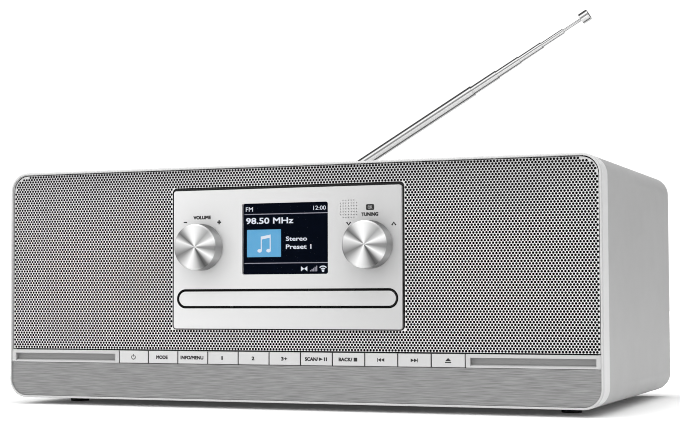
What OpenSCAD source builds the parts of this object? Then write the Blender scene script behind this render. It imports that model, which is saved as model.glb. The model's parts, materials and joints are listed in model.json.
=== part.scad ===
// Tabletop stereo radio with a disc drawer, two knobs, eleven keys and a telescopic antenna.
// Lengths are in millimetres. The front faces -Y and the feet stand on z = 0.

/* [Cabinet] */
// Width of the cabinet
body_w = 360; // [350:1:380]
// Height of the cabinet above its feet
body_h = 134; // [132:1:140]
// Depth of the cabinet without its knobs and antenna
body_d = 195; // [190:1:210]
// Radius of the cabinet's four long edges
corner_r = 11; // [9:0.5:13]
// Thickness of the cabinet's wall
wall = 3; // [2.5:0.5:3.5]
// Depth of the light front frame
frame_d = 15; // [12:1:18]
// Height of the rubber feet
foot_h = 4; // [3:0.5:6]
// Radius of a foot where it meets the cabinet
foot_r = 6; // [5:0.5:8]

/* [Front] */
// Width of the frame's rim as seen from the front
lip_w = 1.2; // [1:0.1:1.4]
// Rounding of the frame's front edge
edge_r = 0.8; // [0.4:0.1:1]
// Width of the control panel
panel_w = 139.4; // [139:0.1:141]
// Height of the control panel
panel_h = 79; // [78:0.5:80]
// Height of the control panel's middle
panel_z = 80.8; // [80:0.1:81.5]
// Width of the display window
display_w = 52.6; // [50:0.2:54]
// Height of the display window
display_h = 40.2; // [38:0.2:41]
// Height of the display window's middle
display_z = 92; // [91:0.5:93]

/* [Controls] */
// Distance of each knob's axis from the middle
knob_x = 51.4; // [50:0.1:53]
// Height of the knobs' axes
knob_z = 87.7; // [86:0.1:89]
// Radius of a knob at its back
knob_r = 13.4; // [12:0.1:14]
// Height of a knob's face above the control panel
knob_h = 10.3; // [9.9:0.1:12]
// Push travel of the tuning knob
knob_push = 0.6; // [0.4:0.1:0.7]
// Distance from one key to the next
key_pitch = 19.15; // [18.8:0.05:19.2]
// Travel of each key
key_travel = 0.8; // [0.4:0.1:1]
// Height of the row of keys
strip_h = 7.2; // [7:0.1:7.4]
// Height of the row's middle
strip_z = 24.75; // [24.5:0.05:25]

/* [Disc drive] */
// Radius of the disc's recess in the tray
disc_recess_r = 60.5; // [60.3:0.1:60.6]
// Distance that the tray travels
tray_travel = 130; // [110:1:132]
// Height of the tray front's middle
tray_z = 58.3; // [58:0.1:58.5]

/* [Antenna] */
// Angle of the antenna above the horizontal
antenna_tilt = 30.2; // [0:0.1:80]
// Position of the antenna's pivot, measured from the middle
antenna_x = -89.4; // [-95:0.1:-70]
// Height of the antenna's pivot above the cabinet's underside
antenna_z = 116; // [110:1:118]
// Distance from the pivot to the mouth of the first section
first_mouth = 161; // [159:0.5:164]

/* [Hidden] */
$fn = 64;

// Layers of the front, as depths behind the frame's front rim
panel_y = 0.5;
lower_y = 0.8;
grille_y = 1.6;
baffle_y = 2.4;
baffle_t = 4;
baffle_back = baffle_y + baffle_t;
fit_gap = 0.2;
frame_wall = lip_w + 2;

// Cabinet interior
cover_t = 3;
cover_back = body_d - 1.5;
cover_front = cover_back - cover_t;
inner_floor = wall;
board_t = 1.6;

// Main board, on four posts that stand on the cabinet's floor
main_board_z = inner_floor + 9;
main_board_front = 45;
main_board_w = 104;
main_board_d = 105;
post_x = 45;
post_front = 52;
post_back = 143;
post_r = 3;

// Rear cover screws, as [x, z]
screw_inset = 12;
screws = [
    for (x = [-1, 1], z = [screw_inset, body_h - screw_inset]) [x * (body_w / 2 - screw_inset), z],
    [0, screw_inset - 2],
    [0, body_h - screw_inset + 2]
];
screw_r = 1.5;
screw_head_r = 3;
screw_cross = [3.4, 0.7];
boss_r = 5;
boss_len = 16;
boss_rib = 4;

// Vents in the rear cover: two columns of slots
vent_w = 40;
vent_h = 2.4;
vent_x = 24;
vent_z = 70;
vent_pitch = 5;
vent_rows = 8;

// Feet, as distances from the middle and from the front
foot_x = 154;
foot_front = 38;
foot_back = body_d - 38;

// Loudspeakers
speaker_x = 125;
speaker_z = 81;
speaker_hole_r = 37;
flange_r = 44;
basket_back = 32;
magnet_r = 30;
magnet_t = 14;

// Control panel and front board
panel_r = 1.5;
panel_gap = 1.2;
window_r = 1.2;
window_t = 1.4;
screen_w = 53.4;
screen_h = 41.2;
screen_t = 5.4;
board_y = 14;
front_board_w = 132;
front_board_h = 52;
front_board_z = 94;
encoder_w = 13;
encoder_h = 12;
shaft_r = 3;
shaft_gap = 0.05;
shaft_end = 8.2;
knob_gap = 0.9;
bore_end = shaft_end + knob_push + fit_gap;
bushing_r = 3.5;
dimple_pitch = 1.6;
dimple_x = 38.7;
dimple_z = 107.7;

// Keys
key_count = 11;
key_gap = 0.3;
key_back = 4.6;
key_stem_r = 2;
key_stem_end = 6.6;
switch_y = key_stem_end + key_travel + fit_gap;
switch_w = 6;
button_r = 1.6;
button_len = 0.6;
key_board_y = 10.9;
key_board_h = 15;
row_w = key_count * key_pitch;

// Slot trims beside the keys
trim_inner = row_w / 2 + 0.25;
trim_outer = body_w / 2 - lip_w - 0.3;
trim_w = trim_outer - trim_inner;
trim_x = (trim_outer + trim_inner) / 2;
trim_pocket = 3;
trim_back_w = trim_w - 3.8;
trim_back_h = strip_h - 1.6;

// Disc tray, measured from the cabinet's underside and front
pill_w = 135.2;
pill_h = 11.05;
collar_t = 0.7;
collar_w = pill_w + 6;
collar_h = pill_h + 6;
front_gap = 0.3;
tray_w = 126;
tray_t = 7;
tray_y = 2.8;
tray_len = tray_travel + 28;
tray_back = tray_y + tray_len;
tray_low = tray_z - tray_t / 2;
tray_top = tray_z + tray_t / 2;
disc_y = 70;
recess_depth = 2.2;
slot_half = 17;
disc_z = tray_top - recess_depth + 0.7;

// Gears, with straight racks to match
gear_teeth = 14;
pitch_r = gear_teeth / 2;
tooth_add = 0.8;
tooth_ded = 1.25;
backlash = 0.12;
pressure = 20;
rack_x = -52;
pinion_y = 26;
sled_rack_x = 23;
sled_gear_y = 110;

// Drive
deck_z = 40;
deck_t = 2;
rail_x = 63.4;
rail_w = 4.6;
rail_top = 64.5;
rail_lip = 3;
bridge_y = 22;
bridge_d = 90;
bridge_z = 66.5;
bridge_t = 1.5;
bridge_top = bridge_z + bridge_t;
drive_front = 9;
drive_back = 166;
leg_r = 4;
motor_r = 10;
motor_h = 13;
sled_y = 88;
sled_len = 28;
sled_z = deck_z + deck_t + 0.3;
sled_rack_z = deck_z + 4;

// Sockets in the rear cover
jack_z = 36;
jack_xs = [64, 82];
jack_r = 1.8;
jack_collar_r = 4;
inlet_x = 112;
inlet_r = 2.85;
inlet_collar_r = 4.6;
socket_d = 14;
socket_h = 12;
hole_gap = 0.1;

// Antenna sections, from the thickest to the thinnest
tube_r = [3.6, 3.05, 2.6, 2.2, 1.65, 0.95];
tube_wall = 0.3;
tube_len = [152, 143, 138, 134, 129, 125];
exposed = [0, 19.9, 17.6, 17.8, 16.8, 13.8];
tip_r = 3.7;
tip_len = 6;
antenna_y = body_d + 6;
base_r = 9;
base_stem_r = 5;
swivel_r = 7.5;
ear_t = 2;
ear_z = 2.3;
sleeve_len = 3;
mouth_len = 3;
ear_r = tube_r[0];
pin_r = 1.25;

// Distance from the pivot to the mouth of section i
function mouth(i) = i == 0 ? first_mouth : mouth(i - 1) + exposed[i];

// The front plane's y, which centres the whole depth on y = 0
knob_reach = knob_h - panel_y;
front_y = -(antenna_y + tip_r - knob_reach) / 2;

// ---- helpers ----

// The cabinet's frame: x from its middle, y back from its front, z up from its underside
module in_cabinet() translate([0, front_y, foot_h]) children();

// A rounded rectangle about the origin
module rounded(w, h, r) {
    square([w - 2 * r, h], center = true);
    square([w, h - 2 * r], center = true);
    for (x = [-1, 1], y = [-1, 1]) translate([x * (w / 2 - r), y * (h / 2 - r)]) circle(r);
}

// A bar with round ends about the origin
module pill(w, h) {
    square([w - h, h], center = true);
    for (x = [-1, 1]) translate([x * (w - h) / 2, 0]) circle(h / 2);
}

// Extrudes a front view, drawn in x and z, from depth y0 back to depth y1
module front_view(y0, y1, x = 0, z = 0)
    translate([x, y1, z]) rotate([90, 0, 0]) linear_extrude(y1 - y0) children();

// A round bar along Y from depth y0 back to depth y1
module bar_y(r, y0, y1, x, z) translate([x, y0, z]) rotate([-90, 0, 0]) cylinder(r = r, h = y1 - y0);

// The cabinet's outline, drawn smaller by inset
module outline(inset) rounded(body_w - 2 * inset, body_h - 2 * inset, corner_r - inset);

// Sweeps a profile of [inward, back] points around the cabinet's outline
module around_outline(profile) translate([0, 0, body_h / 2]) rotate([90, 0, 0]) for (side = [0:3]) {
    across = side % 2 == 0 ? body_w : body_h;
    along = side % 2 == 0 ? body_h : body_w;
    rotate([0, 0, 90 * side]) {
        rotate([90, 0, 0]) linear_extrude(along - 2 * corner_r, center = true)
            polygon([for (p = profile) [across / 2 - p[0], -p[1]]]);
        translate([across / 2 - corner_r, along / 2 - corner_r, 0]) rotate_extrude(angle = 90)
            polygon([for (p = profile) [corner_r - p[0], -p[1]]]);
    }
}

// Points of a quarter round that takes off the outline's front edge
function front_round(r) = [for (a = [0:22.5:90]) [r * (1 - sin(a)), r * (1 - cos(a))]];

// A point of the involute of a circle of radius base, unrolled by t degrees
function involute(base, t) =
    [base * (cos(t) + t * PI / 180 * sin(t)), base * (sin(t) - t * PI / 180 * cos(t))];
function turned(p, a) = [p[0] * cos(a) - p[1] * sin(a), p[0] * sin(a) + p[1] * cos(a)];
function unroll(base, r) = sqrt(pow(r / base, 2) - 1) * 180 / PI;

// The gear's outline, one involute tooth at a time
module gear_outline() {
    base = pitch_r * cos(pressure);
    tip = pitch_r + tooth_add;
    at_pitch = involute(base, unroll(base, pitch_r));
    half_tooth = (90 / gear_teeth) - backlash / pitch_r * 90 / PI + atan2(at_pitch[1], at_pitch[0]);
    flank = [for (i = [0:5]) turned(involute(base, unroll(base, tip) * i / 5), -half_tooth)];
    circle(pitch_r - tooth_ded);
    for (k = [0:gear_teeth - 1]) rotate(360 / gear_teeth * k) polygon(concat(
        [turned([pitch_r - tooth_ded - 0.3, 0], -half_tooth)],
        flank,
        [for (i = [5:-1:0]) [flank[i][0], -flank[i][1]]],
        [turned([pitch_r - tooth_ded - 0.3, 0], half_tooth)]
    ));
}

// A rack's teeth along y, facing +x, with a tooth gap opposite y = gap_y
module rack_outline(y0, y1, gap_y) {
    pitch = PI;
    root_half = pitch / 4 + tooth_ded * tan(pressure) - backlash / 2;
    tip_half = pitch / 4 - tooth_add * tan(pressure) - backlash / 2;
    first = ceil((y0 + root_half - gap_y) / pitch - 0.5);
    last = floor((y1 - root_half - gap_y) / pitch - 0.5);
    for (k = [first:last]) translate([0, gap_y + (k + 0.5) * pitch]) polygon([
        [-tooth_ded - 0.1, -root_half],
        [-tooth_ded, -root_half],
        [tooth_add, -tip_half],
        [tooth_add, tip_half],
        [-tooth_ded, root_half],
        [-tooth_ded - 0.1, root_half]
    ]);
}

// ---- casing ----

module cabinet_shell() color("darkgray") in_cabinet() {
    edge = 0.8;
    difference() {
        union() {
            around_outline([
                [0, frame_d],
                [wall, frame_d],
                [wall, body_d],
                [edge, body_d],
                [0, body_d - edge]
            ]);
            for (s = screws) screw_boss(s);
        }
        for (s = screws) bar_y(screw_r, cover_front - boss_len - 1, cover_front + 1, s[0], s[1]);
    }
    for (x = [-post_x, post_x], y = [post_front, post_back]) translate([x, y, inner_floor - 0.5])
        cylinder(r = post_r, h = main_board_z - inner_floor + 0.5);
}

// A screw boss with a rib that ties it to the nearest wall
module screw_boss(s) {
    bar_y(boss_r, cover_front - boss_len, cover_front, s[0], s[1]);
    top = s[1] > body_h / 2;
    rib = top ? body_h - wall - s[1] : s[1] - wall;
    translate([s[0] - boss_rib / 2, cover_front - boss_len, top ? s[1] : wall - 0.5])
        cube([boss_rib, boss_len, rib + 0.5]);
}

module front_frame() color("gainsboro") in_cabinet() around_outline(concat(
    [[frame_wall, frame_d], [frame_wall, baffle_y], [lip_w, baffle_y], [lip_w, 0]],
    front_round(edge_r),
    [[0, frame_d]]
));

module rear_cover() color("dimgray") in_cabinet() difference() {
    front_view(cover_front, cover_back, z = body_h / 2) outline(wall + fit_gap);
    for (s = screws) bar_y(screw_r + 0.2, cover_front - 1, cover_back + 1, s[0], s[1]);
    for (x = jack_xs) bar_y(jack_collar_r + hole_gap, cover_front - 1, cover_back + 1, x, jack_z);
    bar_y(inlet_collar_r + hole_gap, cover_front - 1, cover_back + 1, inlet_x, jack_z);
    bar_y(base_stem_r + hole_gap, cover_front - 1, cover_back + 1, antenna_x, antenna_z);
    for (x = [-vent_x, vent_x], row = [0:vent_rows - 1])
        front_view(cover_front - 1, cover_back + 1, x, vent_z + vent_pitch * row) pill(vent_w, vent_h);
}

module rear_screws() color("silver") in_cabinet() for (s = screws) difference() {
    union() {
        bar_y(screw_r - 0.05, cover_front - 10, cover_back + 0.5, s[0], s[1]);
        bar_y(screw_head_r, cover_back, cover_back + 1.3, s[0], s[1]);
    }
    for (turn = [0, 90]) translate([s[0], cover_back + 1.3, s[1]]) rotate([0, turn, 0])
        cube([screw_cross[0], 1.4, screw_cross[1]], center = true);
}

module feet() color("black") for (x = [-foot_x, foot_x], y = [foot_front, foot_back])
    translate([x, front_y + y, 0]) cylinder(r1 = foot_r - 0.4, r2 = foot_r, h = foot_h);

// ---- front ----

module front_baffle() color("black") in_cabinet() {
    difference() {
        front_view(baffle_y, baffle_back, z = body_h / 2) outline(frame_wall + fit_gap);
        for (x = [-speaker_x, speaker_x])
            bar_y(speaker_hole_r, baffle_y - 1, baffle_back + 1, x, speaker_z);
        front_view(baffle_y - 1, baffle_back + 1, z = display_z) 
            square([screen_w + 0.6, screen_h + 0.6], center = true);
        for (x = [-knob_x, knob_x]) bar_y(bushing_r + 0.2, baffle_y - 1, baffle_back + 1, x, knob_z);
        front_view(baffle_y - 1, baffle_back + 1, z = tray_z)
            square([collar_w, collar_h], center = true);
        front_view(baffle_y - 1, baffle_back + 1, z = strip_z)
            square([row_w + 0.2, strip_h + 0.1], center = true);
        for (x = [-trim_x, trim_x]) front_view(baffle_y - 1, baffle_back + 1, x, strip_z)
            square([trim_back_w + 0.4, trim_back_h + 0.4], center = true);
    }
    for (x = [-62, 62], z = [72, 116]) bar_y(3, baffle_back - 0.5, board_y, x, z);
    for (x = [-90, 0, 90], z = [18.8, 30.6]) bar_y(1.6, baffle_back - 0.5, key_board_y, x, z);
}

// The black collar that lines the tray's slot, shows round its front and fills the baffle's window
module tray_collar() color("black") in_cabinet() difference() {
    union() {
        front_view(panel_y, baffle_y + 0.5, z = tray_z) pill(pill_w, pill_h);
        front_view(baffle_y, baffle_back, z = tray_z) square([collar_w, collar_h], center = true);
    }
    front_view(panel_y - 1, baffle_back + 1, z = tray_z)
        pill(pill_w - 2 * collar_t, pill_h - 2 * collar_t);
}

module speaker_grille() color("silver") in_cabinet() difference() {
    front_view(grille_y, baffle_y, z = body_h / 2) outline(lip_w + fit_gap);
    front_view(grille_y - 1, baffle_y + 1, z = panel_z)
        rounded(panel_w + 2 * panel_gap, panel_h + 2 * panel_gap, panel_r + panel_gap);
    top = strip_z + strip_h / 2 + 0.35;
    translate([-body_w / 2, grille_y - 1, -1]) cube([body_w, 4, top + 1]);
}

module lower_panel() color("gray") in_cabinet() intersection() {
    front_view(lower_y, baffle_y, z = body_h / 2) outline(lip_w + fit_gap);
    top = strip_z - strip_h / 2 - 0.25;
    translate([-body_w / 2, 0, -1]) cube([body_w, 4, top + 1]);
}

// Flat trims beside the keys, each with a long recess whose lower wall slopes out to the front
module slot_trims() color("gainsboro") in_cabinet() for (x = [-trim_x, trim_x]) slot_trim(x);

module slot_trim(x) translate([x, 0, strip_z]) difference() {
    union() {
        front_view(panel_y, baffle_y) rounded(trim_w, strip_h, 0.4);
        front_view(baffle_y - 0.5, panel_y + trim_pocket + 1) 
            square([trim_back_w, trim_back_h], center = true);
    }
    pocket_w = trim_w - 4.8;
    low = -2.8;
    floor_low = -1.55;
    high = 1.7;
    translate([-pocket_w / 2, 0, 0]) rotate([90, 0, 90]) linear_extrude(pocket_w) polygon([
        [panel_y - 1, low],
        [panel_y, low],
        [panel_y + trim_pocket, floor_low],
        [panel_y + trim_pocket, high],
        [panel_y - 1, high]
    ]);
}

module control_panel() color("gainsboro") in_cabinet() difference() {
    front_view(panel_y, baffle_y, z = panel_z) rounded(panel_w, panel_h, panel_r);
    front_view(panel_y - 1, baffle_y + 1, z = display_z) rounded(display_w, display_h, window_r);
    front_view(panel_y - 1, baffle_y + 1, z = tray_z) pill(pill_w, pill_h);
    for (x = [-knob_x, knob_x]) bar_y(bushing_r + 0.5, panel_y - 1, baffle_y + 1, x, knob_z);
    for (i = [-3:3], j = [-3:3]) if (abs(i) + abs(j) < 6)
        bar_y(0.35, panel_y - 1, panel_y + 0.6, dimple_x + i * dimple_pitch, dimple_z + j * dimple_pitch);
}

module display_window() color("midnightblue") in_cabinet()
    front_view(panel_y + 0.2, panel_y + 0.2 + window_t, z = display_z)
        rounded(display_w - 0.1, display_h - 0.1, window_r);

module display_module() color("black") in_cabinet() {
    front_view(baffle_y, baffle_y + screen_t, z = display_z) square([screen_w, screen_h], center = true);
    for (x = [-22, 22], z = [-16, 16]) bar_y(1.5, baffle_y + screen_t - 0.4, board_y, x, display_z + z);
}

module front_board() color("darkgreen") in_cabinet()
    front_view(board_y, board_y + board_t, z = front_board_z) rounded(front_board_w, front_board_h, 2);

// ---- knobs ----

module encoder(x) color("gray") in_cabinet() difference() {
    union() {
        front_view(baffle_back + 1, board_y, x, knob_z) square([encoder_w, encoder_h], center = true);
        bar_y(bushing_r, panel_y + 1, baffle_back + 1.5, x, knob_z);
    }
    bar_y(shaft_r + shaft_gap, panel_y - 1, board_y - 0.7, x, knob_z);
}

module knob_shaft(x) color("silver") in_cabinet()
    bar_y(shaft_r, panel_y - shaft_end, board_y - 1, x, knob_z);

// A solid aluminium knob with a chamfered rim and a faintly dished face
module knob(x) color("lightgray") in_cabinet() translate([x, panel_y, knob_z]) rotate([90, 0, 0])
    rotate_extrude($fn = 96) polygon([
        [0, bore_end],
        [shaft_r + shaft_gap, bore_end],
        [shaft_r + shaft_gap, knob_gap],
        [knob_r - 0.3, knob_gap],
        [knob_r, knob_gap + 0.3],
        [knob_r - 0.3, knob_h - 0.9],
        [knob_r - 1.2, knob_h],
        [knob_r - 1.8, knob_h],
        [0, knob_h - 0.35]
    ]);

module volume_encoder() encoder(-knob_x);
module volume_shaft() knob_shaft(-knob_x);
module volume_knob() knob(-knob_x);
module tuning_encoder() encoder(knob_x);
module tuning_shaft() knob_shaft(knob_x);
module tuning_knob() knob(knob_x);

// ---- keys ----

function key_x(i) = (i - (key_count - 1) / 2) * key_pitch;

// Key i, counted from the left: a bevelled cap with a stem behind it
module key(i) color("whitesmoke") in_cabinet() translate([key_x(i), 0, strip_z]) {
    w = key_pitch - key_gap;
    h = strip_h - 0.15;
    bevel = 0.3;
    hull() {
        front_view(panel_y, key_back) square([w - 2 * bevel, h - 2 * bevel], center = true);
        front_view(panel_y + bevel, key_back) square([w, h], center = true);
    }
    bar_y(key_stem_r, key_back - 0.5, key_stem_end, 0, 0);
}

module key_power() key(0);
module key_mode() key(1);
module key_menu() key(2);
module key_one() key(3);
module key_two() key(4);
module key_three_plus() key(5);
module key_scan() key(6);
module key_back() key(7);
module key_previous() key(8);
module key_next() key(9);
module key_eject() key(10);

module key_board() color("darkgreen") in_cabinet()
    front_view(key_board_y, key_board_y + board_t, z = strip_z) 
        square([row_w - 4, key_board_h], center = true);

module key_switches() color("dimgray") in_cabinet() for (i = [0:key_count - 1]) {
    front_view(switch_y + button_len, key_board_y, key_x(i), strip_z) square(switch_w, center = true);
    bar_y(button_r, switch_y, switch_y + button_len + 0.4, key_x(i), strip_z);
}

// ---- loudspeakers ----

module at_speakers() for (x = [-speaker_x, speaker_x])
    translate([x, baffle_back, speaker_z]) rotate([-90, 0, 0]) children();

module speaker_frames() color("dimgray") in_cabinet() at_speakers() difference() {
    depth = basket_back - baffle_back;
    rotate_extrude() polygon([
        [36, 0],
        [flange_r, 0],
        [flange_r, 1.6],
        [39.5, 1.6],
        [24, depth],
        [10, depth],
        [10, depth - 1.6],
        [22.6, depth - 1.6],
        [37.6, 1.6],
        [36, 1.6]
    ]);
    for (a = [0:3]) rotate([0, 0, 90 * a + 45]) translate([18, -9, 5]) cube([30, 18, depth - 9]);
    for (a = [0:3]) rotate([0, 0, 90 * a]) translate([41.5, 0, -1]) cylinder(r = 1.7, h = 4);
}

module speaker_cones() color("black") in_cabinet() at_speakers() rotate_extrude() polygon(concat(
    [for (a = [0:30:180]) [33 + 2.9 * cos(a), -0.1 - 2.5 * sin(a)]],
    [[30, 0], [12, 13], [11, 11.4], [6, 8.6], [0, 7.6], [0, 8.2], [6, 9.2], [10.6, 12]],
    [[11.6, 14.2], [30.4, 0.8], [35.9, 0.8]]
));

module speaker_magnets() color("gray") in_cabinet() at_speakers()
    translate([0, 0, basket_back - baffle_back]) cylinder(r = magnet_r, h = magnet_t);

// ---- disc drive ----

module drive_chassis() color("dimgray") in_cabinet() {
    difference() {
        translate([-rail_x - rail_w, drive_front, deck_z])
            cube([2 * (rail_x + rail_w), drive_back - drive_front, deck_t]);
        translate([rack_x + pitch_r, pinion_y, deck_z - 1]) cylinder(r = 1.6, h = deck_t + 2);
    }
    for (side = [-1, 1]) front_view(drive_front, drive_back) rail_outline(side);
    for (x = [-60, 60], y = [22, 158]) translate([x, y, inner_floor])
        cylinder(r = leg_r, h = deck_z - inner_floor + 0.5);
    translate([sled_rack_x + pitch_r, sled_gear_y, deck_z]) cylinder(r = 1.5, h = 10);
}

// A rail's cross-section: a wall with a ledge under the tray and a lip over it
module rail_outline(side) scale([side, 1]) {
    translate([rail_x, deck_z + 0.5]) square([rail_w, rail_top - deck_z - 0.5]);
    translate([rail_x - rail_lip, tray_top + 0.4]) square([rail_lip + 1, rail_top - tray_top - 0.4]);
    translate([rail_x - rail_lip, tray_low - 2.4]) square([rail_lip + 1, 2]);
}

module clamp_bridge() color("lightgray") in_cabinet() difference() {
    union() {
        translate([-rail_x - rail_w, bridge_y, bridge_z])
            cube([2 * (rail_x + rail_w), bridge_d, bridge_t]);
        for (x = [-rail_x - rail_w, rail_x]) translate([x, bridge_y, rail_top])
            cube([rail_w, bridge_d, bridge_z - rail_top + 0.5]);
    }
    translate([0, disc_y, bridge_z - 1]) cylinder(r = 8.5, h = bridge_t + 2);
}

module disc_clamp() color("white") in_cabinet() translate([0, disc_y, 0]) rotate_extrude() polygon([
    [0, disc_z + 2.5],
    [14, disc_z + 2.5],
    [14, bridge_z - 0.9],
    [7.8, bridge_z - 0.9],
    [7.8, bridge_top + 0.4],
    [11, bridge_top + 0.4],
    [11, bridge_top + 2],
    [0, bridge_top + 2]
]);

module disc_tray() color("black") in_cabinet() {
    difference() {
        translate([-tray_w / 2, tray_y, tray_low]) cube([tray_w, tray_len, tray_t]);
        translate([0, disc_y, tray_top - recess_depth]) cylinder(r = disc_recess_r, h = 5, $fn = 128);
        translate([-slot_half, disc_y, tray_low - 1]) cube([2 * slot_half, tray_len, tray_t + 2]);
        translate([0, disc_y, tray_low - 1]) cylinder(r = slot_half, h = tray_t + 2);
        translate([rack_x - tooth_ded, 10, tray_low - 1]) cube([16.8, tray_len, 4.3]);
    }
    translate([rack_x, 0, tray_low]) linear_extrude(3.5)
        rack_outline(11, tray_back - 1, pinion_y);
}

module tray_front() color("gainsboro") in_cabinet() front_view(panel_y + 0.1, tray_y, z = tray_z)
    pill(pill_w - 2 * collar_t - 2 * front_gap, pill_h - 2 * collar_t - 2 * front_gap);

// The toothed wheel stands with a tooth pointing at the rack's gap
module gear_wheel(z0, z1) translate([0, 0, z0]) rotate([0, 0, 180]) linear_extrude(z1 - z0) gear_outline();

module loading_motor() color("silver") in_cabinet()
    translate([rack_x + pitch_r, pinion_y, deck_z - motor_h]) difference() {
        cylinder(r = motor_r, h = motor_h);
        translate([0, 0, 3]) cylinder(r = 1 + shaft_gap, h = motor_h);
    }

module loading_pinion() color("white") in_cabinet() translate([rack_x + pitch_r, pinion_y, 0]) {
    gear_wheel(tray_low + 0.5, tray_low + 3);
    translate([0, 0, deck_z - 9.7]) cylinder(r = 1, h = tray_low - deck_z + 10.5);
}

module spindle_motor() color("silver") in_cabinet() translate([0, disc_y, deck_z + deck_t]) difference() {
    cylinder(r = 12, h = 7.5);
    translate([0, 0, 2]) cylinder(r = 1.5 + shaft_gap, h = 8);
}

module spindle_hub() color("white") in_cabinet() translate([0, disc_y, 0]) rotate_extrude() polygon([
    [0, deck_z + deck_t + 2.3],
    [1.5, deck_z + deck_t + 2.3],
    [1.5, disc_z - 10.1],
    [6, disc_z - 10.1],
    [6, disc_z - 2],
    [14.5, disc_z - 2],
    [14.5, disc_z],
    [7.4, disc_z],
    [7.4, disc_z + 0.7],
    [6, disc_z + 1.7],
    [0, disc_z + 1.7]
]);

module laser_sled() color("dimgray") in_cabinet() {
    difference() {
        translate([-18, sled_y, sled_z]) cube([40, sled_len, 9.5]);
        translate([0, sled_y - 1, deck_z + deck_t]) rotate([-90, 0, 0]) cylinder(r = 3, h = sled_len + 2);
    }
    translate([-8, sled_y + 3, sled_z + 8.7]) cube([16, 14, 4.5]);
    translate([0, sled_y + 10, sled_z + 12.7]) cylinder(r = 3.2, h = 2.2);
    translate([19, 72, sled_rack_z]) cube([sled_rack_x - tooth_ded - 19, 44, 3]);
    translate([sled_rack_x, 0, sled_rack_z]) linear_extrude(3) rack_outline(72.5, 115.5, sled_gear_y);
}

module sled_gear() color("white") in_cabinet()
    translate([sled_rack_x + pitch_r, sled_gear_y, 0]) difference() {
        gear_wheel(sled_rack_z + 0.2, sled_rack_z + 2.8);
        translate([0, 0, deck_z]) cylinder(r = 1.5 + shaft_gap, h = 10);
    }

// ---- electronics ----

module main_board() color("darkgreen") in_cabinet() {
    capacitors = [-34, -20, 20];
    // Chips, as [x, y, side]
    chips = [[-30, 100, 16], [2, 96, 14], [24, 118, 18]];
    translate([-main_board_w / 2, main_board_front, main_board_z])
        cube([main_board_w, main_board_d, board_t]);
    translate([0, 0, main_board_z + board_t - 0.6]) {
        for (x = capacitors) translate([x, 66, 0]) cylinder(r = 5, h = 15);
        for (c = chips) translate([c[0], c[1], 0]) cube([c[2], c[2], 2.2]);
        translate([-6, 60, 0]) cube([14, 20, 18]);
    }
}

module power_inlet() color("black") in_cabinet() {
    difference() {
        union() {
            front_view(cover_front - socket_d, cover_front, inlet_x, jack_z)
                square(socket_h, center = true);
            bar_y(inlet_collar_r, cover_front - 1, cover_back, inlet_x, jack_z);
        }
        bar_y(inlet_r, cover_back - 10, cover_back + 1, inlet_x, jack_z);
    }
    bar_y(1, cover_back - 11, cover_back - 1.5, inlet_x, jack_z);
}

module jack_block() color("black") in_cabinet() difference() {
    union() {
        front_view(cover_front - socket_d, cover_front, (jack_xs[0] + jack_xs[1]) / 2, jack_z)
            square([jack_xs[1] - jack_xs[0] + 14, socket_h], center = true);
        for (x = jack_xs) bar_y(jack_collar_r, cover_front - 1, cover_back, x, jack_z);
    }
    for (x = jack_xs) bar_y(jack_r, cover_back - 15, cover_back + 1, x, jack_z);
}

// ---- antenna ----

// The antenna's frame: x along the sections, y back, z across the hinge's ears
module in_antenna() in_cabinet() translate([antenna_x, antenna_y, antenna_z])
    rotate([0, -antenna_tilt, 0]) children();

module antenna_base() color("black") in_cabinet() difference() {
    union() {
        bar_y(base_r, cover_back, body_d, antenna_x, antenna_z);
        bar_y(base_stem_r, cover_front - 4, cover_back + 0.5, antenna_x, antenna_z);
    }
    bar_y(shaft_r + shaft_gap, cover_front - 5, body_d + 1, antenna_x, antenna_z);
}

module antenna_swivel() color("dimgray") in_antenna() {
    disc_low = body_d - antenna_y + 0.3;
    disc_high = body_d - antenna_y + 2.2;
    rotate([-90, 0, 0]) {
        translate([0, 0, disc_low]) cylinder(r = swivel_r, h = disc_high - disc_low);
        translate([0, 0, cover_front - 4.5 - antenna_y]) cylinder(r = shaft_r, h = 11);
        translate([0, 0, cover_front - 6 - antenna_y]) cylinder(r = 4.4, h = 1.7);
    }
    for (z = [-ear_z - ear_t, ear_z]) translate([0, 0, z]) difference() {
        union() {
            cylinder(r = ear_r, h = ear_t);
            translate([-ear_r, disc_high - 0.5, 0]) cube([2 * ear_r, 0.5 - disc_high, ear_t]);
        }
        translate([0, 0, -1]) cylinder(r = pin_r, h = ear_t + 2);
    }
}

module antenna_pin() color("silver") in_antenna() translate([0, 0, -4.6]) cylinder(r = pin_r, h = 9.2);

// Section i: a thin tube with a rolled-in mouth and, behind it, a sleeve that rides in the last section
module antenna_tube(i) {
    r = tube_r[i];
    bore = r - tube_wall;
    back = mouth(i) - tube_len[i];
    translate([back, 0, 0]) rotate([0, 90, 0]) difference() {
        union() {
            cylinder(r = r, h = tube_len[i]);
            if (i > 0) cylinder(r = tube_r[i - 1] - tube_wall - shaft_gap, h = sleeve_len);
        }
        translate([0, 0, i > 0 ? -1 : 5]) cylinder(r = bore, h = tube_len[i] - (i > 0 ? 1 : 7));
        translate([0, 0, tube_len[i] - mouth_len])
            cylinder(r = tube_r[i + 1] + shaft_gap, h = mouth_len + 1);
    }
}

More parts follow.
